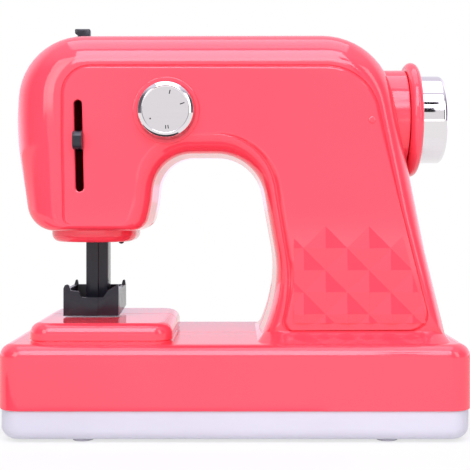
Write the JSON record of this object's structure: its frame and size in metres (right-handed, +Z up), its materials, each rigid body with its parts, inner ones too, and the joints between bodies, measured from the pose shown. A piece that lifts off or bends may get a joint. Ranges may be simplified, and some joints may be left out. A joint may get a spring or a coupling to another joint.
{
  "type": "toy sewing machine",
  "caption": "Toy sewing machine: pink clamshell arm and base on a white tray, with needle bar, presser foot, take-up lever, chrome dial and handwheel.",
  "frame": {"origin": "on the table under the middle of the base", "axes": "+X along the base towards the handwheel, +Y to the back, +Z up"},
  "size_m": [0.22, 0.104, 0.1987],
  "materials": {
    "pink_shell": "glossy moulded plastic",
    "white_tray": "satin moulded plastic",
    "black_plastic": "glossy moulded plastic",
    "chrome": "bright plated",
    "steel": "plated",
    "brass": "plain",
    "nylon": "natural",
    "foot_rubber": "matt",
    "cell_sleeve": "plain sleeve"
  },
  "bodies": {
    "housing": {"front_shell": "pink_shell", "rear_shell": "pink_shell", "bottom_tray": "white_tray", "feet": "foot_rubber", "battery_door": "white_tray", "door_screw": "steel", "battery_cells": "cell_sleeve", "battery_springs": "steel", "battery_contacts": "brass", "switch_body": "steel", "shell_screws": "steel", "tray_screws": "steel", "thread_guide": "black_plastic", "shaft_bushes": "brass", "idler_pin": "steel", "drive_motor": "steel", "gear_frame": "nylon", "frame_screws": "steel", "bar_guide": "nylon", "work_lamp": "black_plastic"},
    "handwheel": {"handwheel_rim": "pink_shell", "handwheel_knob": "chrome", "main_shaft": "steel", "drive_gear": "nylon", "crank_disc": "nylon", "crank_pin": "steel"},
    "idler": {"idler_gear": "nylon"},
    "motor_rotor": {"motor_shaft": "steel", "motor_pinion": "brass"},
    "needle_carriage": {"yoke_carriage": "black_plastic", "needle_bar": "black_plastic", "presser_foot": "black_plastic", "take_up_lever": "black_plastic"},
    "dial": {"stitch_dial": "chrome", "dial_clip": "steel"},
    "power_switch": {"switch_slider": "black_plastic"}
  },
  "joints": [
    {"name": "handwheel_spin", "type": "hinge", "parent": "housing", "child": "handwheel", "pos_m": [0.0851, 0, 0.1527], "axis": [1, 0, 0], "continuous": true},
    {"name": "idler_spin", "type": "hinge", "parent": "housing", "child": "idler", "pos_m": [0.036, 0, 0.1287], "axis": [1, 0, 0], "continuous": true},
    {"name": "motor_spin", "type": "hinge", "parent": "housing", "child": "motor_rotor", "pos_m": [0.0395, 0, 0.1047], "axis": [1, 0, 0], "continuous": true},
    {"name": "needle_bar_slide", "type": "slide", "parent": "housing", "child": "needle_carriage", "axis": [0, 0, 1], "range_m": [0, 0.012]},
    {"name": "dial_turn", "type": "hinge", "parent": "housing", "child": "dial", "pos_m": [-0.0324, -0.038, 0.1542], "axis": [0, -1, 0], "continuous": true},
    {"name": "power_switch_slide", "type": "slide", "parent": "housing", "child": "power_switch", "axis": [1, 0, 0], "range_m": [0, 0.004]}
  ],
  "couplings": [
    {"joint": "idler_spin", "follows": "handwheel_spin", "ratio": -4},
    {"joint": "motor_spin", "follows": "handwheel_spin", "ratio": 16}
  ]
}
